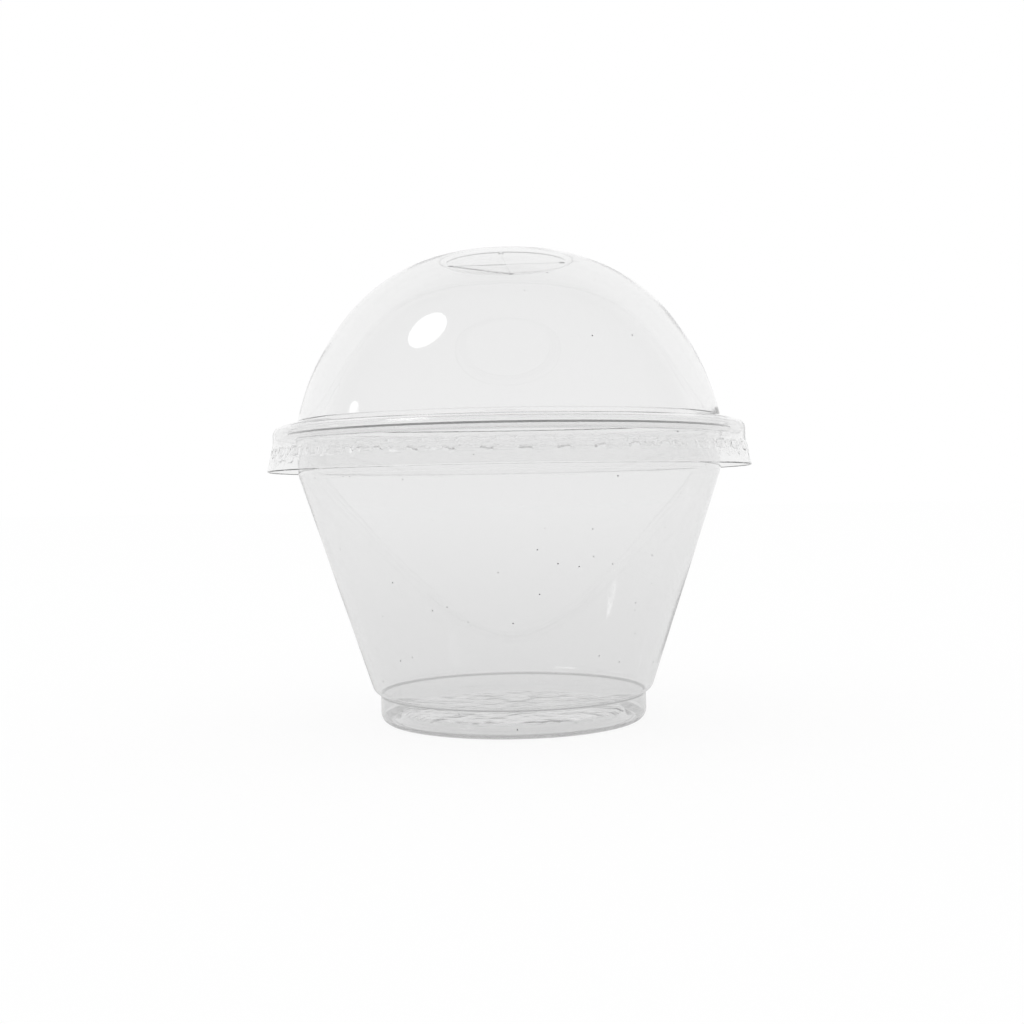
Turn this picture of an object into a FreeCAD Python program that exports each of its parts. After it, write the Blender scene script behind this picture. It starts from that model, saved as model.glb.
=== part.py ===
"""Clear dessert cup with a push-on dome lid, both formed from thin plastic sheet.

Millimetres. The origin is on the axis at the table, +Z is up, and +Y points away from the viewer.
Each piece is one sheet: its outer outline is drawn once, thickened by a constant wall and turned
about the axis. The lid's lugs, flutes and straw cut are then formed in the turned sheet.
"""
import FreeCAD, Part
import math
import os

# Sheet
cup_wall = 0.35
lid_wall = 0.30

# Foot of the cup
foot_radius = 28.0
foot_height = 5.2         # up to the groove under the shoulder
foot_corner = 2.1
foot_ring = 5.0           # width of the ring the cup stands on, with the slope inside it
panel_lift = 2.2          # underside of the base panel above the table
panel_slope = 1.2         # how far the slope beside the panel runs inwards
panel_round = 0.9

# Shoulder, cone and neck of the cup
shoulder_step = 1.1       # from the foot's wall out to the corner of the cone
shoulder_rise = 0.65      # from the groove up to that corner
shoulder_round = 3.0
cup_height = 61.4
neck_depth = 9.5          # from the top of the rim down to the kink where the cone ends
neck_flare = 0.5          # how much wider the neck is below the rim than at the kink
neck_round = 1.2

# Rolled rim of the cup
rim_radius = 49.0
rim_width = 4.2           # from the neck out to the edge of the roll
rim_depth = 2.5           # height of the roll
rim_round = 1.3
rim_throat = 0.8          # bend from the neck into the rim
curl_width = 2.6          # how far the rolled edge runs back under the rim
curl_rise = 1.2           # upturned end of the roll
curl_end_round = 0.5

# Fit of the lid on the rim
rim_gap = 0.20            # between the rim's roll and the lid
lug_clearance = 0.12      # between the lugs and the rim as the lid lifts
flute_clearance = 0.20    # between the flutes and the rim as the lid lifts

# Skirt and ledge of the lid
band_depth = 3.2          # upright band, from the top of the rim down to the flare
band_round = 4.0
flare_depth = 5.5         # from the band down to the cut edge
flare_width = 1.2         # how much wider the cut edge is than the band
ledge_width = 4.6         # from the edge of the rim in to the foot of the dome
ledge_angle = 16.7        # degrees that the ledge rises inwards

# Dome and crown
dome_lean = 12.0          # degrees the dome leans in where it leaves the ledge
dome_rise = 34.35         # from the foot of the dome up to the rim of the crown step
crown_radius = 14.2       # of that rim
crown_angle = 13.0        # degrees the dome still rises there
crown_slope = 1.2         # how far the step runs inwards
crown_drop = 0.65         # from the rim of the step down to the panel

# Lugs and flutes of the skirt
lug_count = 46
lug_lead = 3.1            # degrees from +X to the first lug
lug_turn = 3.4            # degrees each lug takes
lug_drop = 1.9            # from the top of the flare down to the middle of a lug
lug_length = 1.9          # height of a lug's opening
flute_drop = 1.3          # from the top of the flare down to the top of a flute
flute_plain = 1.5         # plain strip between the foot of a flute and the cut edge
flute_width = 2.6         # at the top of a flute
tool_margin = 0.2         # how far a cutting shape reaches past the skin

# Straw cut in the crown panel
cut_margin = 1.1          # from the end of a cut to the foot of the step
cut_width = 0.15
cut_stop = 1.3            # diameter of the round stop at each end
cut_turn = -5.0           # degrees the cross is turned from the viewer's axes
flap_tilt = 1.5           # degrees the rear left flap is pressed down

FULL_TURN = 360.0
CROSS_TURNS = (0.0, 90.0)
END_TURNS = (0.0, 90.0, 180.0, 270.0)
MEETING = 0.0001          # ends closer than this are one point

Vector = FreeCAD.Vector
CENTRE = Vector(0, 0, 0)
AXIS = Vector(0, 0, 1)


# Outlines in the section plane

def at(radius, height):
    """A point of the section plane."""
    return Vector(radius, 0, height)


def line(start, end):
    """Straight edge."""
    return Part.LineSegment(start, end).toShape()


def arc(start, middle, end):
    """Edge along the circle through three points."""
    return Part.Arc(start, middle, end).toShape()


def rounded_edges(corners):
    """Edges through (radius, height, round) corners, each round a tangent arc."""
    edges = []
    here = at(*corners[0][:2])
    for before, corner, after in zip(corners, corners[1:], corners[2:]):
        point = at(*corner[:2])
        back = (at(*before[:2]) - point).normalize()
        ahead = (at(*after[:2]) - point).normalize()
        half = back.getAngle(ahead) / 2
        reach = corner[2] / math.tan(half)
        start = point + back * reach
        if not here.isEqual(start, MEETING):
            edges.append(line(here, start))
        here = point + ahead * reach
        if corner[2] > 0:
            inward = (back + ahead).normalize()
            middle = point + inward * (corner[2] / math.sin(half) - corner[2])
            edges.append(arc(start, middle, here))
    edges.append(line(here, at(*corners[-1][:2])))
    return edges


def parallel(corners, wall):
    """Corners of the line that lies a wall's thickness to the left of an outline."""
    points = [at(*corner[:2]) for corner in corners]
    headings = [(after - before).normalize() for before, after in zip(points, points[1:])]
    lining = []
    for point, corner, arriving, leaving in zip(
            points, corners, headings[:1] + headings, headings + headings[-1:]):
        left_before = at(-arriving.z, arriving.x)
        left_after = at(-leaving.z, leaving.x)
        mitre = (left_before + left_after) / (1 + left_before.dot(left_after))
        moved = point + mitre * wall
        turns_left = arriving.dot(left_after) < 0
        bend = corner[2]
        if bend > 0:
            bend += -wall if turns_left else wall
        lining.append((moved.x, moved.z, bend))
    return lining


def two_arc_corners(start, leaving, end, arriving):
    """Corners whose rounds are two arcs, tangent to each other and to both end directions."""
    span = end - start
    turn = leaving + arriving
    bend = 2 * (1 - leaving.dot(arriving))
    along = span.dot(turn)
    reach = (math.sqrt(along ** 2 + bend * span.dot(span)) - along) / bend
    first = start + leaving * reach
    second = end - arriving * reach
    middle = (second - first).normalize()
    first_round = reach / math.tan(leaving.getAngle(middle) / 2)
    second_round = reach / math.tan(middle.getAngle(arriving) / 2)
    return [(first.x, first.z, first_round), (second.x, second.z, second_round)]


# Solids turned about the axis

def turned_sheet(corners, wall):
    """Sheet of constant wall. The corners are its outer outline, with the wall to their left."""
    outer = rounded_edges(corners)
    lining = parallel(corners, wall)
    inner = rounded_edges(lining)
    start = line(at(*lining[0][:2]), at(*corners[0][:2]))
    end = line(at(*corners[-1][:2]), at(*lining[-1][:2]))
    section = Part.Face(Part.Wire(outer + [end] + inner[::-1] + [start]))
    return section.revolve(CENTRE, AXIS, FULL_TURN)


def turned_slice(edges, turn):
    """Solid swept by a closed outline, half the turn to each side of +X."""
    piece = Part.Face(Part.Wire(edges)).revolve(CENTRE, AXIS, turn)
    piece.rotate(CENTRE, AXIS, -turn / 2)
    return piece


def around(piece, count, lead):
    """Copies of a piece at equal steps about the axis, the first one turned by a lead."""
    copies = []
    for index in range(count):
        copy = piece.copy()
        copy.rotate(CENTRE, AXIS, lead + index * FULL_TURN / count)
        copies.append(copy)
    return copies


# Cup

def cup_outline():
    """Outer outline of the cup, from the middle of the base panel to the end of the rolled rim."""
    ring_radius = foot_radius - foot_ring
    neck_radius = rim_radius - rim_width
    rim_under = cup_height - cup_wall
    roll_radius = rim_radius - cup_wall
    roll_low = cup_height - rim_depth + cup_wall
    roll_round = rim_round - cup_wall
    curl_radius = rim_radius - curl_width
    return [
        (0, panel_lift, 0),
        (ring_radius, panel_lift, panel_round),
        (ring_radius + panel_slope, 0, panel_round),
        (foot_radius, 0, foot_corner),
        (foot_radius, foot_height, 0),
        (foot_radius + shoulder_step, foot_height + shoulder_rise, shoulder_round),
        (neck_radius - neck_flare, cup_height - neck_depth, neck_round),
        (neck_radius, rim_under, rim_throat),
        (roll_radius, rim_under, roll_round),
        (roll_radius, roll_low, rim_under - roll_low - roll_round),
        (curl_radius, roll_low, curl_end_round),
        (curl_radius, roll_low + curl_rise, 0),
    ]


def make_cup():
    """One sheet: base panel, foot, cone, neck and rolled rim."""
    return turned_sheet(cup_outline(), cup_wall)


# Lid outline

def band_radius():
    """Outer radius of the upright band, which clears the rim by the gap."""
    return rim_radius + rim_gap + lid_wall


def flare_top():
    """Height where the band turns into the flare."""
    return cup_height - band_depth


def skirt_radius(drop):
    """Outer radius of the flare at a drop below its top."""
    return band_radius() + flare_width * drop / flare_depth


def ledge_height(radius):
    """Outer height of the ledge, a shallow cone tangent to the round that wraps the rim's roll."""
    slope = math.radians(ledge_angle)
    wrap = rim_round + rim_gap + lid_wall
    touch_radius = rim_radius - rim_round + wrap * math.sin(slope)
    touch_height = cup_height - rim_round + wrap * math.cos(slope)
    return touch_height + (touch_radius - radius) * math.tan(slope)


def dome_foot():
    """Point where the dome leaves the ledge."""
    radius = rim_radius - ledge_width
    return at(radius, ledge_height(radius))


def crown_rim():
    """Point where the dome ends and the step down to the crown panel starts."""
    return at(crown_radius, dome_foot().z + dome_rise)


def panel_height():
    """Outer height of the crown panel."""
    return crown_rim().z - crown_drop


def dome_corners():
    """The dome's side and shoulder, as two rounded corners between its foot and the crown's rim."""
    lean = math.radians(dome_lean)
    rise = math.radians(crown_angle)
    leaving = at(-math.sin(lean), math.cos(lean))
    arriving = at(-math.cos(rise), math.sin(rise))
    return two_arc_corners(dome_foot(), leaving, crown_rim(), arriving)


def lid_outline():
    """Outer outline of the lid, from the cut edge of the skirt up to the middle of the crown."""
    band = band_radius()
    foot = dome_foot()
    rim = crown_rim()
    return [
        (skirt_radius(flare_depth), flare_top() - flare_depth, 0),
        (band, flare_top(), band_round),
        (band, ledge_height(band), rim_round + rim_gap + lid_wall),
        (foot.x, foot.z, 0),
        *dome_corners(),
        (rim.x, rim.z, 0),
        (crown_radius - crown_slope, panel_height(), 0),
        (0, panel_height(), 0),
    ]


# Lugs and flutes

def skirt_point(drop, outward=0.0):
    """Point on the outer skin of the flare, or that far outside it."""
    return at(skirt_radius(drop) + outward, flare_top() - drop)


def lug_slice(tip_radius, reach, outward, turn):
    """Piece bulging inwards to a tip radius, with its ends on the flare or that far outside it."""
    low = skirt_point(lug_drop + reach, outward)
    high = skirt_point(lug_drop - reach, outward)
    tip = at(tip_radius, flare_top() - lug_drop)
    return turned_slice([arc(low, tip, high), line(high, low)], turn)


def lug_shapes():
    """Swelling that a lug adds inside the skirt, and the dent that it leaves outside."""
    tip = rim_radius + lug_clearance
    wall_turn = math.degrees(lid_wall / tip)
    swelling = lug_slice(tip, (lug_length + lid_wall) / 2, -lid_wall / 2, lug_turn + 2 * wall_turn)
    dent = lug_slice(tip + lid_wall, lug_length / 2 + tool_margin, tool_margin, lug_turn)
    return swelling, dent


def flute_bar(wall):
    """Round bar along a flute, deepest at the flute's top and running out at its foot."""
    deep = at(rim_radius + flute_clearance + lid_wall, flare_top() - flute_drop)
    depth = skirt_radius(flute_drop) - deep.x
    bar_round = ((flute_width / 2) ** 2 + depth ** 2) / (2 * depth)
    foot = skirt_point(flare_depth - flute_plain)
    run = deep - foot
    outward = Vector(run.z, 0, -run.x).normalize()
    start = foot - run + outward * bar_round
    return Part.makeCylinder(bar_round + wall, 3 * run.Length, start, run)


def flute_zone(outward):
    """Slice of the skirt from well inside it to a distance outside its skin, as tall as a flute."""
    foot_drop = flare_depth - flute_plain + tool_margin
    corners = [
        skirt_point(foot_drop, -flare_width),
        skirt_point(foot_drop, outward),
        skirt_point(flute_drop, outward),
        skirt_point(flute_drop, -flare_width),
    ]
    edges = [line(start, end) for start, end in zip(corners, corners[1:] + corners[:1])]
    return turned_slice(edges, FULL_TURN / lug_count)


def flute_shapes():
    """Swelling that a flute adds inside the skirt, and the dent that it leaves outside."""
    swelling = flute_bar(lid_wall).common(flute_zone(-lid_wall / 2))
    dent = flute_bar(0).common(flute_zone(tool_margin))
    return swelling, dent


def form_skirt(sheet):
    """Sheet with the ring of lugs pressed inwards and a flute between each pair of lugs."""
    lug_swelling, lug_dent = lug_shapes()
    flute_swelling, flute_dent = flute_shapes()
    flute_lead = lug_lead + FULL_TURN / lug_count / 2
    swellings = around(lug_swelling, lug_count, lug_lead)
    swellings += around(flute_swelling, lug_count, flute_lead)
    dents = around(lug_dent, lug_count, lug_lead) + around(flute_dent, lug_count, flute_lead)
    return sheet.fuse(swellings).cut(dents)


# Straw cut

def cut_arm():
    """Length of a cut from the axis to its end."""
    return crown_radius - crown_slope - cut_margin


def panel_point(left, rear, drop=0.0):
    """Point on the panel's underside, in the directions of the left and the rear cut."""
    point = Vector(-left, rear, panel_height() - lid_wall - drop)
    return FreeCAD.Rotation(AXIS, cut_turn).multVec(point)


def flap(drop):
    """Rear left flap between two cuts, with its free corner lowered by a drop."""
    edge = cut_width / 2
    free = panel_point(edge, edge, drop)
    left = panel_point(cut_arm(), edge)
    rear = panel_point(edge, cut_arm())
    return Part.Face(Part.makePolygon([free, left, rear, free])).extrude(AXIS * lid_wall)


def cross_slots():
    """Two slots through the crown panel, crossing on the axis."""
    corner = Vector(-cut_arm(), -cut_width / 2, panel_height() - 2 * lid_wall)
    slots = []
    for turn in CROSS_TURNS:
        slot = Part.makeBox(2 * cut_arm(), cut_width, 3 * lid_wall, corner)
        slot.rotate(CENTRE, AXIS, turn + cut_turn)
        slots.append(slot)
    return slots


def cut_stops():
    """Round stops at the four ends of the slots."""
    foot = Vector(cut_arm(), 0, panel_height() - 2 * lid_wall)
    stops = []
    for turn in END_TURNS:
        stop = Part.makeCylinder(cut_stop / 2, 3 * lid_wall, foot, AXIS)
        stop.rotate(CENTRE, AXIS, turn + cut_turn)
        stops.append(stop)
    return stops


def cut_crown(sheet):
    """Sheet with the cross cut made and the rear left flap bent down along its crease."""
    crease_distance = cut_arm() / math.sqrt(2)
    drop = crease_distance * math.tan(math.radians(flap_tilt))
    sheet = sheet.cut(cross_slots() + [flap(0)])
    return sheet.fuse(flap(drop)).cut(cut_stops())


def make_lid():
    """One sheet: skirt with lugs and flutes, ledge, dome and crown panel with its straw cut."""
    sheet = turned_sheet(lid_outline(), lid_wall)
    return cut_crown(form_skirt(sheet))


def main():
    """Write each piece to its own STEP file."""
    os.makedirs("parts", exist_ok=True)
    pieces = {"cup": make_cup(), "dome_lid": make_lid()}
    for name, piece in pieces.items():
        piece.exportStep("parts/" + name + ".step")
        print(name, "solids:", len(piece.Solids), "valid:", piece.isValid(), "mm3:", round(piece.Volume, 1))


main()
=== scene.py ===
# %% [markdown]
# # A clear dessert cup with its dome lid
# Two thermoformed pieces of clear sheet: a cup with a rolled rim, and a lid whose skirt grips that rim
# with a ring of lugs. Both are thin walls of constant thickness turned about one axis. They could be
# boxes of a few faces rounded by subdivision, but clear sheet shows every bend, so each is worked out
# here as one closed surface: a profile of the sheet's two sides, carried round the axis on a grid.

# %% Load the fixed frame
import math

import bpy
import numpy as np
from mathutils import Matrix, Vector
from mathutils.geometry import tessellate_polygon


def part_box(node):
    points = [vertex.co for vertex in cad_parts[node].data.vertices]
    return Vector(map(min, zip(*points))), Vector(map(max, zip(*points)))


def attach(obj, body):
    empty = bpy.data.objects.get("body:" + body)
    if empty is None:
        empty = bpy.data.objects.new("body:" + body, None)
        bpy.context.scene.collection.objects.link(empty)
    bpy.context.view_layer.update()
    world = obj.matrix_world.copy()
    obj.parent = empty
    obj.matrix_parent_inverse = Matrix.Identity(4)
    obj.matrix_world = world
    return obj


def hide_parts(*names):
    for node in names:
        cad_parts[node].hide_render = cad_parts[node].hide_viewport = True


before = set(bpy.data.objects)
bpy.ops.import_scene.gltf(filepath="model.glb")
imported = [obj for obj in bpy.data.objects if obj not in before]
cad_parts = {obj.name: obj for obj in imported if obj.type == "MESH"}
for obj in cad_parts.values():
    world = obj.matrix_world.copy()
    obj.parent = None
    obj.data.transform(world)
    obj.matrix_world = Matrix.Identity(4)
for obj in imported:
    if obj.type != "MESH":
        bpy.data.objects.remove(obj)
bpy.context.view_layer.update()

MM = 0.001
cup_low, cup_high = (np.array(corner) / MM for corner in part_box("cup"))
lid_low, lid_high = (np.array(corner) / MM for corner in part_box("dome_lid"))
print("cup box in mm", cup_low.round(2), cup_high.round(2))
print("lid box in mm", lid_low.round(2), lid_high.round(2))

# %% [markdown]
# ## The other side of a wall
# The outline of each piece is a chain of corners, each with its own round, as a mould maker would draw
# it. A Solidify modifier could add the wall, but it pinches in tight bends. Here the wall's other side
# is the same chain moved sideways by the wall's thickness, with each round made larger or smaller by
# it. That keeps the wall constant; a wall that swells acts as a lens.

# %% Parallel chain
def parallel(corners, wall):
    """Chain a wall's thickness to the left: corners move along the mitre, (n1 + n2) / (1 + n1.n2)."""
    points = np.array([corner[:2] for corner in corners], float)
    runs = np.diff(points, axis=0)
    runs /= np.linalg.norm(runs, axis=1)[:, None]
    left = np.column_stack([-runs[:, 1], runs[:, 0]])
    before = np.vstack([left[:1], left])
    after = np.vstack([left, left[-1:]])
    mitre = (before + after) / (1 + (before * after).sum(axis=1))[:, None]
    moved = points + mitre * wall
    turns = np.zeros(len(points))
    turns[1:-1] = runs[:-1, 0] * runs[1:, 1] - runs[:-1, 1] * runs[1:, 0]
    lining = []
    for (radius, height), turn, corner in zip(moved, turns, corners):
        bend = corner[2] - math.copysign(wall, turn) if corner[2] else 0
        lining.append((radius, height, bend, *corner[3:]))
    return lining


square_corner = [(0, 0, 0), (9, 0, 2), (9, 9, 0)]
print("a square corner", square_corner[1], "moves 0.5 to the left, to", parallel(square_corner, 0.5)[1])

# %% [markdown]
# ## Corners into a profile
# A chain says (radius, height, round, and sometimes the rows before the corner), all in mm. It could be
# drawn as a curve object and sampled, but then the rows would fall anywhere. Worked out one by one, each
# round starts and ends on a row, so a straight wall stays straight right up to its bend.

# %% Rows along a chain
MM_PER_ROW = 4.0
MM_PER_ARC_ROW = 1.8
DEGREES_PER_ROW = 9.0
LAST_ROWS = 3
SAME_POINT = 0.001


def straight(start, end, rows):
    """Points start + (end - start) * share, up to, not with, end."""
    share = np.linspace(0, 1, rows, endpoint=False)[:, None]
    return start + (end - start) * share


def arc(centre, bend, start, end, steps):
    """Points centre + bend * (cos a, sin a) for the angles from start up to, not with, end."""
    first, last = (math.atan2(*(point - centre)[::-1]) for point in (start, end))
    sweep = math.remainder(last - first, math.tau)
    angle = first + sweep * np.linspace(0, 1, steps, endpoint=False)
    return centre + bend * np.column_stack([np.cos(angle), np.sin(angle)])


def profile(corners, rows_like=None):
    """Points along the chain: an arc on each round, even steps on each straight.

    The arc of a corner with half angle h starts round / tan h before it, and its centre lies
    round / sin h along the middle line. rows_like gives the chain that sets the number of rows, so
    both sides of a wall get the same.
    """
    like = rows_like or corners
    points = np.array([corner[:2] for corner in corners], float)
    model = np.array([corner[:2] for corner in like], float)
    pieces = []
    here = points[0]
    for index in range(1, len(points) - 1):
        back = points[index - 1] - points[index]
        ahead = points[index + 1] - points[index]
        back /= np.linalg.norm(back)
        ahead /= np.linalg.norm(ahead)
        half = math.acos(np.clip(back @ ahead, -1, 1)) / 2
        bend = corners[index][2]
        reach = bend / math.tan(half)
        length = np.linalg.norm(model[index] - model[index - 1])
        rows = corners[index][3] if len(corners[index]) > 3 else max(1, round(length / MM_PER_ROW))
        start, end = points[index] + back * reach, points[index] + ahead * reach
        if np.linalg.norm(start - here) > SAME_POINT:
            pieces.append(straight(here, start, rows))
        here = end
        if bend:
            middle_line = (back + ahead) / np.linalg.norm(back + ahead)
            centre = points[index] + middle_line * bend / math.sin(half)
            bent = math.pi - 2 * half
            by_turn = math.degrees(bent) / DEGREES_PER_ROW
            by_length = bent * like[index][2] / MM_PER_ARC_ROW
            pieces.append(arc(centre, bend, start, end, max(3, round(by_turn), round(by_length))))
    rows = corners[-1][3] if len(corners[-1]) > 3 else LAST_ROWS
    pieces.append(straight(here, points[-1], rows))
    return np.vstack([*pieces, points[-1:]])


def sheet_sides(chain, wall):
    """Both sides of the sheet as equal numbers of (radius, height) rows."""
    outer = profile(chain)
    inner = profile(parallel(chain, wall), rows_like=chain)
    print("rows", len(outer), "wall in mm", np.linalg.norm(outer - inner, axis=1).min().round(3))
    return outer, inner


# %% [markdown]
# ## A profile turned about the axis
# A surface of revolution is a grid: one parameter runs along the profile, the other round the axis. The
# Screw modifier would make it too, but in a grid of numbers the skirt's dents can be added to each
# point. Where the two ends lie on the axis, each becomes one point and a fan of triangles, so the skin
# is closed. The sign of the volume tells which way the faces point, and they are turned outwards.

# %% Rings, grid and piece
def rings(radii, columns):
    """(r cos a, r sin a) for each row's radius, or each vertex's, and each column's angle."""
    angle = np.arange(columns) * math.tau / columns
    radii = np.broadcast_to(radii, (len(radii), columns))
    return np.stack([radii * np.cos(angle), radii * np.sin(angle)], axis=2)


def turned(rings, heights):
    """Vertices and faces of the surface (r cos a, r sin a, z), closed by a pole at each end.

    rings holds (x, y) for each row and column, heights a height for each row and column.
    """
    rows, columns = heights.shape
    grid = np.concatenate([rings, heights[..., None]], axis=2).reshape(-1, 3)
    poles = np.array([grid[0], grid[-1]])
    poles[:, :2] = 0
    inner = grid[columns:-columns]
    index = 2 + np.arange(len(inner)).reshape(rows - 2, columns)
    beside = np.roll(index, -1, axis=1)
    quads = np.stack([index[:-1], beside[:-1], beside[1:], index[1:]], axis=-1).reshape(-1, 4)
    first_fan = np.stack([np.zeros(columns, int), beside[0], index[0]], axis=-1)
    last_fan = np.stack([np.ones(columns, int), index[-1], beside[-1]], axis=-1)
    return np.vstack([poles, inner]) * MM, quads, np.vstack([first_fan, last_fan])


def signed_volume(points, triangles):
    """Sum of a . (b x c) / 6 over the triangles: positive when they face outwards."""
    a, b, c = (points[triangles[:, k]] for k in range(3))
    return (a * np.cross(b, c)).sum() / 6


def add_object(name, data, place=None):
    """New object in the scene, at the origin or at a place."""
    item = bpy.data.objects.new(name, data)
    if place is not None:
        item.matrix_world = place
    bpy.context.scene.collection.objects.link(item)
    return item


def add_piece(name, points, quads, triangles):
    """Mesh object at the origin, smooth, with its faces turned outwards."""
    split = np.vstack([quads[:, [0, 1, 2]], quads[:, [0, 2, 3]], triangles])
    volume = signed_volume(points, split)
    if volume < 0:
        quads = quads[:, ::-1]
        triangles = triangles[:, ::-1]
    mesh = bpy.data.meshes.new(name)
    mesh.from_pydata(points, [], quads.tolist() + triangles.tolist())
    mesh.polygons.foreach_set("use_smooth", np.ones(len(mesh.polygons), bool))
    print(name, "triangles", len(split), "sheet volume in cm3", round(abs(volume) * 1e6, 2))
    return add_object(name, mesh)


# %% [markdown]
# ## The cup
# One sheet 0.35 mm thick. The chain starts in the middle of the base panel, goes under the foot ring,
# up the foot to a groove, over the shoulder, up the cone and round the rolled rim. Bends that look
# sharp still have a small round, because hot sheet never fills a mould's corner. The cup could be
# split into base, wall and rim, but the real one has no joints, and a seam in clear sheet would show.

# %% Cup
CUP_WALL = 0.35
CUP_TURNS = 320
PANEL_LIFT = 2.2
FOOT_RADIUS = 28.0
GROOVE_HEIGHT = 5.8
RIM_TOP = 61.05
RIM_EDGE = 48.65
ROLL_FLOOR = 59.25
ROLL_END = 46.4
ROLL_END_TOP = 60.45

cup_chain = [
    (0, PANEL_LIFT, 0),                 # middle of the base panel
    (23.0, PANEL_LIFT, 2.2, 9),         # edge of the panel
    (24.2, 0, 1.8),                     # inside of the ring it stands on
    (FOOT_RADIUS, 0, 2.1),              # outside of that ring
    (FOOT_RADIUS, GROOVE_HEIGHT, 0.5),  # groove
    (29.42, 6.8, 2.6),                  # shoulder into the cone
    (44.3, 51.9, 1.2, 24),              # kink where the neck starts
    (44.8, RIM_TOP, 0.8, 4),            # neck into the rim
    (RIM_EDGE, RIM_TOP, 0.95, 2),       # over the rim
    (RIM_EDGE, ROLL_FLOOR, 0.84),       # down its edge
    (ROLL_END, ROLL_FLOOR, 0.5),        # back under it
    (ROLL_END, ROLL_END_TOP, 0, 3),     # upturned end
]
cup_outer, cup_inner = sheet_sides(cup_chain, CUP_WALL)
cup_line = np.vstack([cup_outer, cup_inner[::-1]])
cup_heights = np.repeat(cup_line[:, 1:], CUP_TURNS, axis=1)
cup = add_piece("clear_cup", *turned(rings(cup_line[:, :1], CUP_TURNS), cup_heights))

# %% [markdown]
# ## The lid's outline
# One sheet 0.3 mm thick: a flared skirt, an upright band that wraps the rim, a shallow ledge, a dome,
# and a sunk panel in the crown. The dome isn't a ball: its side is steeper and its shoulder flatter. A
# spline would follow that, but its bend would waver and so would the reflections. Two arcs that meet
# with one tangent keep the highlight's edge clean, and a mould is cut that way.

# %% Two arcs for the dome
LID_WALL = 0.30
DOME_FOOT = (44.4, 62.97)
CROWN_EDGE = (14.2, 97.32)
DOME_LEAN = 12.0
CROWN_RISE = 13.0


def two_arc_corners(start, lean, end, rise):
    """Corners of two arcs between two points: each corner is a reach s along the end tangents.

    With t the sum of the two directions and b = 2 (1 - cos of the angle between them), s solves
    b s^2 + 2 s (v.t) - v.v = 0 for the span v, so both arcs meet with one tangent.
    """
    start, end = np.array(start), np.array(end)
    leaving = np.array([-math.sin(math.radians(lean)), math.cos(math.radians(lean))])
    arriving = np.array([-math.cos(math.radians(rise)), math.sin(math.radians(rise))])
    span = end - start
    bend = 2 * (1 - leaving @ arriving)
    along = span @ (leaving + arriving)
    reach = (math.sqrt(along ** 2 + bend * (span @ span)) - along) / bend
    first, second = start + leaving * reach, end - arriving * reach
    middle = (second - first) / np.linalg.norm(second - first)
    first_round = reach / math.tan(math.acos(leaving @ middle) / 2)
    second_round = reach / math.tan(math.acos(middle @ arriving) / 2)
    return [(*first, first_round), (*second, second_round)]


side, shoulder = two_arc_corners(DOME_FOOT, DOME_LEAN, CROWN_EDGE, CROWN_RISE)
print("radii of the dome's side and shoulder in mm", round(side[2], 2), round(shoulder[2], 2))

# %% Lid profile
BAND_RADIUS = 49.5
FLARE_TOP = 58.2
PANEL_HEIGHT = 96.67
PANEL_EDGE = 12.75
CROWN_ROUND = 0.5

lid_chain = [
    (50.7, 52.7, 0),                      # cut edge of the skirt
    (BAND_RADIUS, FLARE_TOP, 4.0, 22),    # flare into the band
    (BAND_RADIUS, 61.44, 1.8, 2),         # band into the ledge
    (*DOME_FOOT, 0.2, 2),                 # ledge into the dome
    (*side, 1),
    (*shoulder, 1),
    (*CROWN_EDGE, CROWN_ROUND, 1),        # dome into the crown's step
    (13.0, PANEL_HEIGHT, CROWN_ROUND, 1),
    (PANEL_EDGE, PANEL_HEIGHT, 0, 1),     # flat panel
]
lid_outer, lid_inner = sheet_sides(lid_chain, LID_WALL)
lid_line = np.vstack([lid_outer[::-1], lid_inner])

# %% [markdown]
# ## Lugs and flutes
# A ring of lugs is pressed inwards below the rim and holds the lid on, and a flute runs down the flare
# between each two lugs and stiffens it. They could be cut with booleans, which leave the wall thick in
# some places and thin in others. Here they are small dents: one function of angle and height moves both
# sides of the sheet inwards together, and the wall keeps its thickness.

# %% Dents in the skirt
LUGS = 46
LUG_LEAD = 3.1
LUG_HALF_TURN = 1.85
LUG_DROP = 1.9
LUG_DEPTH = 0.4
FLUTE_DEPTH = 0.284
FLUTE_BAR = 6.24
FLUTE_TOP = 1.1
FLUTE_STEP = 0.25
FLUTE_FOOT = 4.0
FLUTE_FALL = 2.7
COLUMNS_PER_LUG = 12
LID_TURNS = LUGS * COLUMNS_PER_LUG


def dent_depth(heights, columns):
    """Inward move in mm of the sheet for each row's height and each column's angle.

    Lug: depth (1 - (a / half turn)^4) (1 - (h / 1 mm)^4) about its middle. Flute: d - x^2 / 2R across
    a round bar of diameter 2R, where d falls from the flute's depth at its top to 0 at its foot.
    """
    drop = FLARE_TOP - heights[:, None]
    step = 360 / LUGS
    angle = np.arange(columns) * 360 / columns
    from_lug = (angle - LUG_LEAD + step / 2) % step - step / 2
    from_flute = (angle - LUG_LEAD) % step - step / 2
    lug = np.clip(1 - (from_lug / LUG_HALF_TURN) ** 4, 0, 1) * np.clip(1 - (drop - LUG_DROP) ** 4, 0, 1)
    fall = FLUTE_DEPTH * np.clip((FLUTE_FOOT - drop) / FLUTE_FALL, 0, 1)
    bar = fall - (np.radians(from_flute) * BAND_RADIUS) ** 2 / FLUTE_BAR
    flute = np.clip(bar, 0, 1) * np.clip((drop - FLUTE_TOP) / FLUTE_STEP, 0, 1)
    return np.maximum(lug * LUG_DEPTH, flute)


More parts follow.
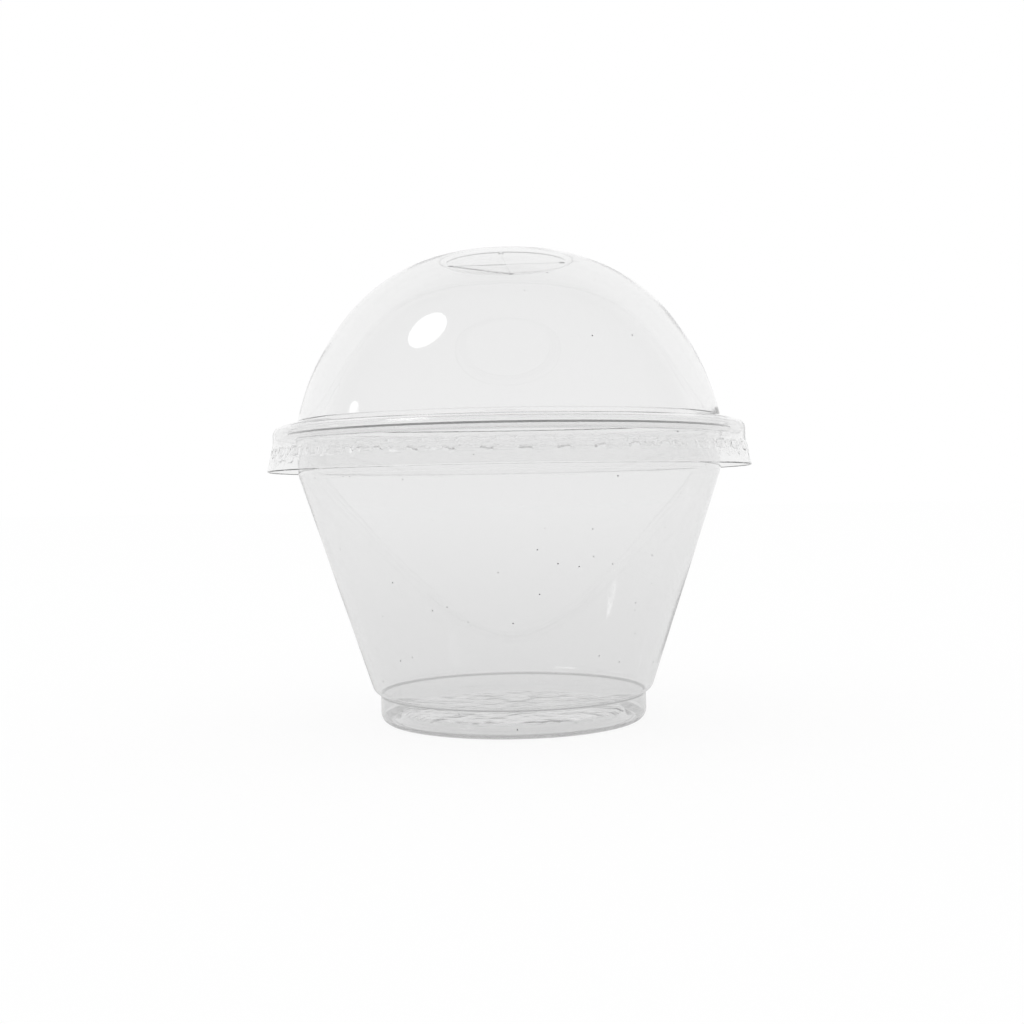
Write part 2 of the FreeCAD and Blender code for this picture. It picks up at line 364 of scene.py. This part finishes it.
lid_dents = dent_depth(lid_line[:, 1], LID_TURNS)
lid_rings = rings(lid_line[:, :1] - lid_dents, LID_TURNS)
lid_heights = np.repeat(lid_line[:, 1:], LID_TURNS, axis=1)
print("deepest dent in mm", lid_dents.max().round(3))

# %% [markdown]
# ## The cross cut
# The crown panel has a cross cut for a straw: two slots that end in round stops, which keep the thin
# sheet from tearing on. A boolean would cut it, and leave long thin faces in the panel. The panel is
# flat, so it needs no grid: one arm of the outline is written once and turned to four sides, and the
# panel is filled between that outline and the ring where the lid's grid ends.

# %% Outline of the cross
ARM = 11.9
SLOT_HALF = 0.075
STOP_RADIUS = 0.65
STOP_STEPS = 11
CROSS_TURN = -5.0


def cross_outline():
    """(x, y) round the cross: per arm one inner corner, then the stop's circle from slot to slot.

    The circle has close points at 125, 135 and 145 degrees, where a crease can start.
    """
    slot_side = math.pi - math.asin(SLOT_HALF / STOP_RADIUS)
    around = np.radians(np.r_[-145, -135, np.linspace(-125, 125, STOP_STEPS), 135, 145])
    turns = np.r_[-slot_side, around, slot_side]
    stop = np.column_stack([ARM + STOP_RADIUS * np.cos(turns), STOP_RADIUS * np.sin(turns)])
    arm = np.vstack([[[SLOT_HALF, -SLOT_HALF]], stop])
    angles = np.radians(CROSS_TURN + 90 * np.arange(4))[:, None]
    x = arm[:, 0] * np.cos(angles) - arm[:, 1] * np.sin(angles)
    y = arm[:, 0] * np.sin(angles) + arm[:, 1] * np.cos(angles)
    return np.stack([x, y], axis=2).reshape(-1, 2)


cross = cross_outline()
print("points round the cross", len(cross))

# %% [markdown]
# ## The flap that hangs a little
# One of the four flaps is pressed down, along a crease between two stops, and the crease shows as a
# dark line. Bending the whole panel would spoil its flatness. Instead the points of that one flap drop
# by their distance from the crease, and the crease itself is a shallow groove of four faces.

# %% Heights round the cross
FLAP_TILT = 0.6
CREASE_DEPTH = 0.15

per_arm = len(cross) // 4
flap_at = np.arange(2 * per_arm - 2, 2 * per_arm + 3)
crease_at = flap_at[[0, -1]] + [-1, 1]
beyond_at = flap_at[[0, -1]] + [-2, 2]
rest_at = np.setdiff1d(np.arange(len(cross)), np.arange(beyond_at[0] + 1, beyond_at[1]))

crease_line = cross[flap_at[-1]] - cross[flap_at[0]]
crease_line /= np.linalg.norm(crease_line)
from_crease = cross[flap_at] - cross[flap_at[0]]
from_crease = np.abs(from_crease[:, 0] * crease_line[1] - from_crease[:, 1] * crease_line[0])
cross_heights = np.full(len(cross), PANEL_HEIGHT)
cross_heights[flap_at] -= from_crease * math.tan(math.radians(FLAP_TILT))
cross_heights[crease_at] -= CREASE_DEPTH
print("flap lowered by mm", (PANEL_HEIGHT - cross_heights[flap_at]).max().round(2))

# %% [markdown]
# ## The lid as one skin
# The grid of the sheet's two sides, the panel's top and underside, and the narrow walls in the slots
# have to close into one skin, or light would leak into the wall. They could be joined and merged by
# distance, which also merges the slots' sides. Sharing the same numbered points closes it exactly.

# %% Panel faces
def filled(outer, hole=()):
    """Triangles that fill the outline, as indices into its points and then the hole's."""
    loops = [[Vector((*point, 0)) for point in loop] for loop in (outer, hole) if len(loop)]
    return np.array(tessellate_polygon(loops))


def facing(points, triangles, up):
    """The triangles in the order that makes them all face up, or all down."""
    a, b, c = (points[triangles[:, k]] for k in range(3))
    rising = ((b - a)[:, 0] * (c - a)[:, 1] - (b - a)[:, 1] * (c - a)[:, 0]) > 0
    return np.where((rising == up)[:, None], triangles, triangles[:, ::-1])


lid_grid = np.concatenate([lid_rings, lid_heights[..., None]], axis=2).reshape(-1, 3)
upper = len(lid_grid) + np.arange(len(cross))
lower = upper + len(cross)
lid_points = np.vstack([
    lid_grid,
    np.column_stack([cross, cross_heights]),
    np.column_stack([cross, cross_heights - LID_WALL]),
])
lid_index = np.arange(len(lid_grid)).reshape(-1, LID_TURNS)
panel_faces = []
for up, row, at in ((True, 0, upper), (False, -1, lower)):
    rest = np.r_[lid_index[row], at[rest_at]][filled(lid_rings[row], cross[rest_at])]
    flap = at[flap_at][filled(cross[flap_at])]
    (a, b), (c, d), (e, f) = at[[flap_at[[0, -1]], crease_at, beyond_at]]
    crease = np.array([(a, b, d), (a, d, c), (c, d, f), (c, f, e)])
    panel_faces.append(facing(lid_points[:, :2], np.vstack([rest, flap, crease]), up))
print("panel faces", [len(faces) for faces in panel_faces])

# %% Lid
beside = np.roll(lid_index, -1, axis=1)
lid_quads = np.stack([lid_index[:-1], lid_index[1:], beside[1:], beside[:-1]], axis=-1).reshape(-1, 4)
slot_walls = np.stack([upper, np.roll(upper, -1), np.roll(lower, -1), lower], axis=-1)
all_quads = np.vstack([lid_quads, slot_walls])
lid = add_piece("clear_dome_lid", lid_points * MM, all_quads, np.vstack(panel_faces))
print("lid in mm", lid_points.min(axis=0).round(2), lid_points.max(axis=0).round(2))

# %% [markdown]
# ## Edges and shading
# A sheet is cut square, so its edges stay sharp, while its faces are smooth. Smooth shading alone would
# blend a long row with the small round beside it and bend the view through both. The Weighted Normal
# modifier lets the larger face decide, so a straight wall keeps one normal up to its bend.

# %% Edges and normals
def middles(piece):
    """Radius, height and y in mm of each face's middle."""
    centres = np.empty(len(piece.data.polygons) * 3)
    piece.data.polygons.foreach_get("center", centres)
    centres = centres.reshape(-1, 3) / MM
    return np.hypot(centres[:, 0], centres[:, 1]), centres[:, 2], centres[:, 1]


def near(value, middle, reach):
    """Where |value - middle| < reach."""
    return abs(value - middle) < reach


cup_radius, cup_height, cup_y = middles(cup)
lid_radius, lid_height = middles(lid)[:2]
cup_flat = near(cup_height, ROLL_END_TOP, 0.01) & near(cup_radius, 46.5, 0.5)
lid_flat = near(lid_height, 52.73, 0.05) | (lid_radius < PANEL_EDGE)
for piece, flat in ((cup, cup_flat), (lid, lid_flat)):
    piece.data.polygons.foreach_set("use_smooth", ~flat)
    weighted = piece.modifiers.new("even_normals", "WEIGHTED_NORMAL")
    weighted.mode = "FACE_AREA"
    weighted.weight = 90
    weighted.keep_sharp = True
    print(piece.name, "flat faces", int(flat.sum()))

# %% [markdown]
# ## Places with a finish or a painted shade of their own
# The sheet isn't alike all over: the cut end of the roll is a little rough and painted almost black as
# painted shade, the base panel is mottled by the mould, the fold above the foot is painted darker as
# shade, and the edge the cup stands on is rougher and painted darker as shade. These could be masks in
# one material, but one finish per place keeps each material simple, so every face gets the number of its
# finish by where its middle lies. The cut end is painted dark on its near half only, because the photo
# shows no dark line behind the lugs.

# %% Finish of each face
cup_places = [
    (cup_height > 60.0) & near(cup_radius, 46.57, 0.25) & (cup_y < 5),           # cut end, painted almost black as shade
    (cup_height < 3) & (cup_radius < 23.2),                                      # mottled base panel
    near(cup_height, GROOVE_HEIGHT + 0.05, 0.25) & near(cup_radius, 28.1, 0.5),  # fold, painted darker as shade
    (cup_height < 1.2) & (cup_radius > 25.0),                                    # foot edge, rougher, painted darker as shade
    cup_height > 58.5,                                                           # thin rim
]
dome_foot = near(lid_height, 62.9, 0.35) & near(lid_radius, DOME_FOOT[0], 0.5)
cup.data.polygons.foreach_set("material_index", np.select(cup_places, [1, 2, 3, 4, 5], 0))
lid.data.polygons.foreach_set("material_index", dome_foot.astype(int))
print("faces at the cut end, base, fold, foot and rim", [int(place.sum()) for place in cup_places])
print("faces at the dome's foot", int(dome_foot.sum()))

# %% [markdown]
# ## Bodies
# The cup stands and the lid lifts off, so each piece rides on the body of its own solid, which it
# replaces: the solids stay for collision.

# %% Bodies
for piece, node, body, name in ((cup, "cup", "cup", "cup_sheet"), (lid, "dome_lid", "lid", "lid_sheet")):
    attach(piece, body)
    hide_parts(node)
    print(piece.name, "rides on", body)

# %% [markdown]
# ## Nodes in a few words
# The finishes, the room and the floor are all small node trees. Writing every node out would hide what
# they do, so four helpers make a node with its settings, a greyscale ramp, a colour switch and links.

# %% Node helpers
MIX_A, MIX_B, MIX_RESULT = 6, 7, 2


def grey_of(level):
    """The same level in all three colours, opaque."""
    return level, level, level, 1


def math_node(nodes, operation, second=None):
    """Math node; second is its second number, where that is fixed."""
    node = nodes.new("ShaderNodeMath")
    node.operation = operation
    if second is not None:
        node.inputs[1].default_value = second
    return node


def colour_switch(nodes):
    """Mix node that goes from colour A to colour B as its factor goes from 0 to 1."""
    node = nodes.new("ShaderNodeMix")
    node.data_type = "RGBA"
    return node


def level_ramp(nodes, *steps):
    """Ramp through (position, grey level) steps, straight between them."""
    ramp = nodes.new("ShaderNodeValToRGB")
    elements = ramp.color_ramp.elements
    for element, (position, level) in zip(elements, (steps[0], steps[-1])):
        element.position = position
        element.color = grey_of(level)
    for position, level in steps[1:-1]:
        elements.new(position).color = grey_of(level)
    return ramp


def wire(tree, *pairs):
    """A link from each output to its input."""
    for output, socket in pairs:
        tree.links.new(output, socket)


# %% [markdown]
# ## Clear sheet
# Thermoformed clear plastic is a glass-like sheet with a polished face, a trace of grey, and a faint
# waviness left by the heating, which makes reflections waver. A glass shader would do for the sheet,
# but the Principled one exports better. The bump is low and broad. Handling leaves a few specks of
# dust, which are small matt dots: the middles of random cells of a Voronoi pattern.

# %% Clear sheet
PLASTIC_IOR = 1.57
WAVES_PER_METRE = 55
WAVE_HEIGHT = 0.0004
DUST_CELLS = 260
DUST_SIZE = 0.04
DUST_GREY = 0.2


def clear_sheet(piece, name, grey, roughness, wave, dusty=0.0,
                waves_per_metre=WAVES_PER_METRE, bending=PLASTIC_IOR):
    """Adds a clear finish to a piece: its grey, low waves, and dust in a share of the cells."""
    material = bpy.data.materials.new(name)
    material.use_nodes = True
    tree = material.node_tree
    nodes = tree.nodes
    shader = nodes["Principled BSDF"]
    shader.inputs["Base Color"].default_value = grey_of(grey)
    shader.inputs["Roughness"].default_value = roughness
    shader.inputs["IOR"].default_value = bending
    shader.inputs["Transmission Weight"].default_value = 1
    place = nodes.new("ShaderNodeTexCoord")
    waves = nodes.new("ShaderNodeTexNoise")
    waves.inputs["Scale"].default_value = waves_per_metre
    waves.inputs["Detail"].default_value = 1
    bump = nodes.new("ShaderNodeBump")
    bump.inputs["Strength"].default_value = wave
    bump.inputs["Distance"].default_value = WAVE_HEIGHT
    cells = nodes.new("ShaderNodeTexVoronoi")
    cells.inputs["Scale"].default_value = DUST_CELLS
    chosen = nodes.new("ShaderNodeSeparateColor")
    speck = math_node(nodes, "LESS_THAN", DUST_SIZE)
    rare = math_node(nodes, "LESS_THAN", dusty)
    both = math_node(nodes, "MULTIPLY")
    dust = nodes.new("ShaderNodeBsdfDiffuse")
    dust.inputs["Color"].default_value = grey_of(DUST_GREY)
    mix = nodes.new("ShaderNodeMixShader")
    wire(tree,
         (place.outputs["Object"], waves.inputs["Vector"]),
         (waves.outputs["Fac"], bump.inputs["Height"]),
         (bump.outputs["Normal"], shader.inputs["Normal"]),
         (place.outputs["Object"], cells.inputs["Vector"]),
         (cells.outputs["Distance"], speck.inputs[0]),
         (cells.outputs["Color"], chosen.inputs["Color"]),
         (chosen.outputs["Red"], rare.inputs[0]),
         (speck.outputs["Value"], both.inputs[0]),
         (rare.outputs["Value"], both.inputs[1]),
         (both.outputs["Value"], mix.inputs["Fac"]),
         (shader.outputs["BSDF"], mix.inputs[1]),
         (dust.outputs["BSDF"], mix.inputs[2]),
         (mix.outputs["Shader"], nodes["Material Output"].inputs["Surface"]))
    piece.data.materials.append(material)


# %% [markdown]
# ## The finishes
# The cup is a little greyer than the lid, because its sheet is thicker. The cut end of the roll is
# painted almost black, a painted shade for the dark line the sheet shows when seen along it. The mottled
# base has strong short waves, the fold is painted darker as shade, the foot is duller and painted darker
# as shade, and the drawn-out rim is clearer. At the foot of the dome the sheet bends light less, because
# the real bend is too soft to show a line. The order is that of the faces' numbers.

# %% Finishes
clear_sheet(cup, "clear_cup_sheet", grey=0.94, roughness=0.03, wave=0.15, dusty=0.4)
# Painted shade: the cut end is coloured almost black, for the dark line the sheet shows when seen along
# it.
clear_sheet(cup, "cut_edge_painted_shade", grey=0.06, roughness=0.3, wave=0.15)
clear_sheet(cup, "mottled_base", grey=0.97, roughness=0.12, wave=0.9, dusty=0.4, waves_per_metre=260)
# Painted shade: the fold above the foot is coloured darker, for the dark line it shows.
clear_sheet(cup, "fold_painted_shade", grey=0.6, roughness=0.15, wave=0.15)
# Painted shade: the foot's edge is coloured darker, for the shade of the floor seen through it; its
# roughness, waves and dust are its own.
clear_sheet(cup, "rough_foot_painted_shade", grey=0.78, roughness=0.2, wave=0.6, dusty=0.2, waves_per_metre=200)
clear_sheet(cup, "thin_rim", grey=0.98, roughness=0.02, wave=0.15)
clear_sheet(lid, "clear_lid_sheet", grey=0.972, roughness=0.02, wave=0.12, dusty=0.15)
clear_sheet(lid, "soft_corner", grey=0.99, roughness=0.05, wave=0.12, bending=1.15)
print("materials", [material.name for material in bpy.data.materials])

# %% [markdown]
# ## The room
# Clear plastic shows what is round it, so the room matters more than the finish. A picture of a real
# room could be used, but a plain one is enough. It is white past the piece and a little under white
# through it. What the sheet mirrors is white only behind the piece, and dim above it, beside it and on
# the viewer's side. That gives the dome its slightly grey middle.

# %% Room
DIM_LEVEL = 0.5
DIM_UP_TO = 0.18
WHITE_FROM = 0.46
THROUGH_SHEET = 0.93


def white_room(world):
    """White; but what a face mirrors is a ramp on the direction's Y, which points behind the piece."""
    world.use_nodes = True
    tree = world.node_tree
    nodes = tree.nodes
    sky = nodes["Background"]
    sky.inputs["Strength"].default_value = 1
    direction = nodes.new("ShaderNodeTexCoord")
    split = nodes.new("ShaderNodeSeparateXYZ")
    ramp = level_ramp(nodes, (DIM_UP_TO, DIM_LEVEL), (WHITE_FROM, 1))
    path = nodes.new("ShaderNodeLightPath")
    mirrored = math_node(nodes, "SUBTRACT")
    mirrored.use_clamp = True
    choose = colour_switch(nodes)
    through = colour_switch(nodes)
    through.inputs[MIX_A].default_value = grey_of(1)
    through.inputs[MIX_B].default_value = grey_of(THROUGH_SHEET)
    wire(tree,
         (direction.outputs["Generated"], split.inputs["Vector"]),
         (split.outputs["Y"], ramp.inputs["Fac"]),
         (path.outputs["Is Reflection Ray"], mirrored.inputs[0]),
         (path.outputs["Is Diffuse Ray"], mirrored.inputs[1]),
         (mirrored.outputs["Value"], choose.inputs[0]),
         (ramp.outputs["Color"], choose.inputs[MIX_B]),
         (path.outputs["Is Transmission Ray"], through.inputs[0]),
         (through.outputs[MIX_RESULT], choose.inputs[MIX_A]),
         (choose.outputs[MIX_RESULT], sky.inputs["Color"]))


world = bpy.context.scene.world or bpy.data.worlds.new("room")
bpy.context.scene.world = world
white_room(world)
print("room", world.name)

# %% [markdown]
# ## The floor
# The piece stands on white paper that looks as white as the backdrop and still takes a soft shadow. A
# matt floor alone would be grey, so it is mostly glow with a little matt paper. Through the sheet or
# mirrored in it, the glow falls off towards the piece, as paper does that the piece shades from all
# sides. That makes the lower part of the cup darker than the dome.

# %% Floor
FLOOR_REACH = 6.0
PAPER_GREY = 0.95
OWN_LIGHT = 0.9
SHADE_REACH = 0.3
GLOW_STEPS = ((0.05, 0.74), (0.1, 0.76), (0.2, 0.78), (0.45, 0.82), (0.71, 0.88), (1, 0.942))


def white_floor(name):
    """Pale floor; its glow is a ramp of r / (r + 0.3) for the distance r in metres from the axis."""
    material = bpy.data.materials.new(name)
    material.use_nodes = True
    tree = material.node_tree
    nodes = tree.nodes
    nodes.remove(nodes["Principled BSDF"])
    matt = nodes.new("ShaderNodeBsdfDiffuse")
    matt.inputs["Color"].default_value = grey_of(PAPER_GREY)
    glow = nodes.new("ShaderNodeEmission")
    place = nodes.new("ShaderNodeTexCoord")
    away = nodes.new("ShaderNodeVectorMath")
    away.operation = "LENGTH"
    farther = math_node(nodes, "ADD", SHADE_REACH)
    share = math_node(nodes, "DIVIDE")
    ramp = level_ramp(nodes, *GLOW_STEPS)
    path = nodes.new("ShaderNodeLightPath")
    choose = colour_switch(nodes)
    choose.inputs[MIX_B].default_value = grey_of(1)
    seen = math_node(nodes, "SUBTRACT")
    seen.inputs[0].default_value = 1
    part = math_node(nodes, "MULTIPLY", OWN_LIGHT)
    mix = nodes.new("ShaderNodeMixShader")
    wire(tree,
         (place.outputs["Object"], away.inputs[0]),
         (away.outputs["Value"], farther.inputs[0]),
         (away.outputs["Value"], share.inputs[0]),
         (farther.outputs["Value"], share.inputs[1]),
         (share.outputs["Value"], ramp.inputs["Fac"]),
         (path.outputs["Is Camera Ray"], choose.inputs[0]),
         (ramp.outputs["Color"], choose.inputs[MIX_A]),
         (choose.outputs[MIX_RESULT], glow.inputs["Color"]),
         (path.outputs["Is Diffuse Ray"], seen.inputs[1]),
         (seen.outputs["Value"], part.inputs[0]),
         (part.outputs["Value"], mix.inputs["Fac"]),
         (matt.outputs["BSDF"], mix.inputs[1]),
         (glow.outputs["Emission"], mix.inputs[2]),
         (mix.outputs["Shader"], nodes["Material Output"].inputs["Surface"]))
    return material


floor_mesh = bpy.data.meshes.new("floor")
floor_corners = [(x * FLOOR_REACH, y * FLOOR_REACH, 0) for x, y in ((-1, -1), (1, -1), (1, 1), (-1, 1))]
floor_mesh.from_pydata(floor_corners, [], [(0, 1, 2, 3)])
floor_mesh.materials.append(white_floor("floor_white"))
floor = add_object("floor", floor_mesh)
print("floor reaches", FLOOR_REACH, "m to each side")

# %% [markdown]
# ## The lamps
# One softbox up to the left gives the oval highlight on the dome, and a small window low on the left
# gives the little ones, low on the dome and on the right of the cup. Their places follow from the
# mirrored directions at those highlights. Point lamps would give hard dots, so they are area lamps.

# %% Lamps
LAMP_AIM = (0, 0, 0.07)


def softbox(name, place, size, level):
    """Area lamp of a radiance level, facing the middle of the piece: power = level * pi * area."""
    lamp = bpy.data.lights.new(name, "AREA")
    lamp.shape = "ELLIPSE"
    lamp.size, lamp.size_y = size
    lamp.energy = level * math.pi * math.pi * size[0] * size[1] / 4
    turn = (Vector(LAMP_AIM) - Vector(place)).to_track_quat("-Z", "Y").to_matrix().to_4x4()
    add_object(name, lamp, Matrix.Translation(place) @ turn)
    print(name, "power in mW", round(lamp.energy * 1000, 1))


softbox("softbox_left", (-0.389, -0.134, 0.662), (0.21, 0.21), 1.8)
softbox("window_left", (-0.355, -0.012, 0.195), (0.04, 0.02), 1.5)

# %% [markdown]
# ## The camera
# The outline in the photo gives the view: level with the cup's cone, 285 mm from the axis, and rolled
# by one degree, which shows in the rim and in the foot. A camera that looks down would make the sides
# lean together, so this one looks straight ahead, and a small shift moves the piece in the frame.

# %% Camera
FRAME_PIXELS = 1024
FOCAL_PIXELS = 1340
MIDDLE_PIXEL = (510.1, 498.5)
SENSOR_WIDTH = 36
CAMERA_PLACE = (0, -0.2847, 0.0465)
CAMERA_ROLL = -1.0

camera_data = bpy.data.cameras.new("camera")
camera_data.sensor_width = SENSOR_WIDTH
camera_data.lens = FOCAL_PIXELS / FRAME_PIXELS * SENSOR_WIDTH
camera_data.shift_x = (FRAME_PIXELS / 2 - MIDDLE_PIXEL[0]) / FRAME_PIXELS
camera_data.shift_y = (MIDDLE_PIXEL[1] - FRAME_PIXELS / 2) / FRAME_PIXELS
camera_data.clip_start = 0.01
level = Matrix.Rotation(math.radians(90), 4, "X") @ Matrix.Rotation(math.radians(CAMERA_ROLL), 4, "Z")
camera = add_object("camera", camera_data, Matrix.Translation(CAMERA_PLACE) @ level)
bpy.context.scene.camera = camera
bpy.context.scene.view_settings.view_transform = "Standard"
print("lens", round(camera_data.lens, 2), "mm")

# %% [markdown]
# ## Light paths
# Where the sheet is seen edge on, as at the ledge and the rolled rim, light passes many faces before
# it leaves. The path needs that many steps, or those places turn black. Thinning the mesh there would
# help too, but it would lose the roll.

# %% Light paths
PATH_STEPS = 36
MIRROR_STEPS = 16

paths = bpy.context.scene.cycles
paths.max_bounces = PATH_STEPS
paths.transmission_bounces = PATH_STEPS
paths.glossy_bounces = MIRROR_STEPS
print("steps of a light path", paths.max_bounces)
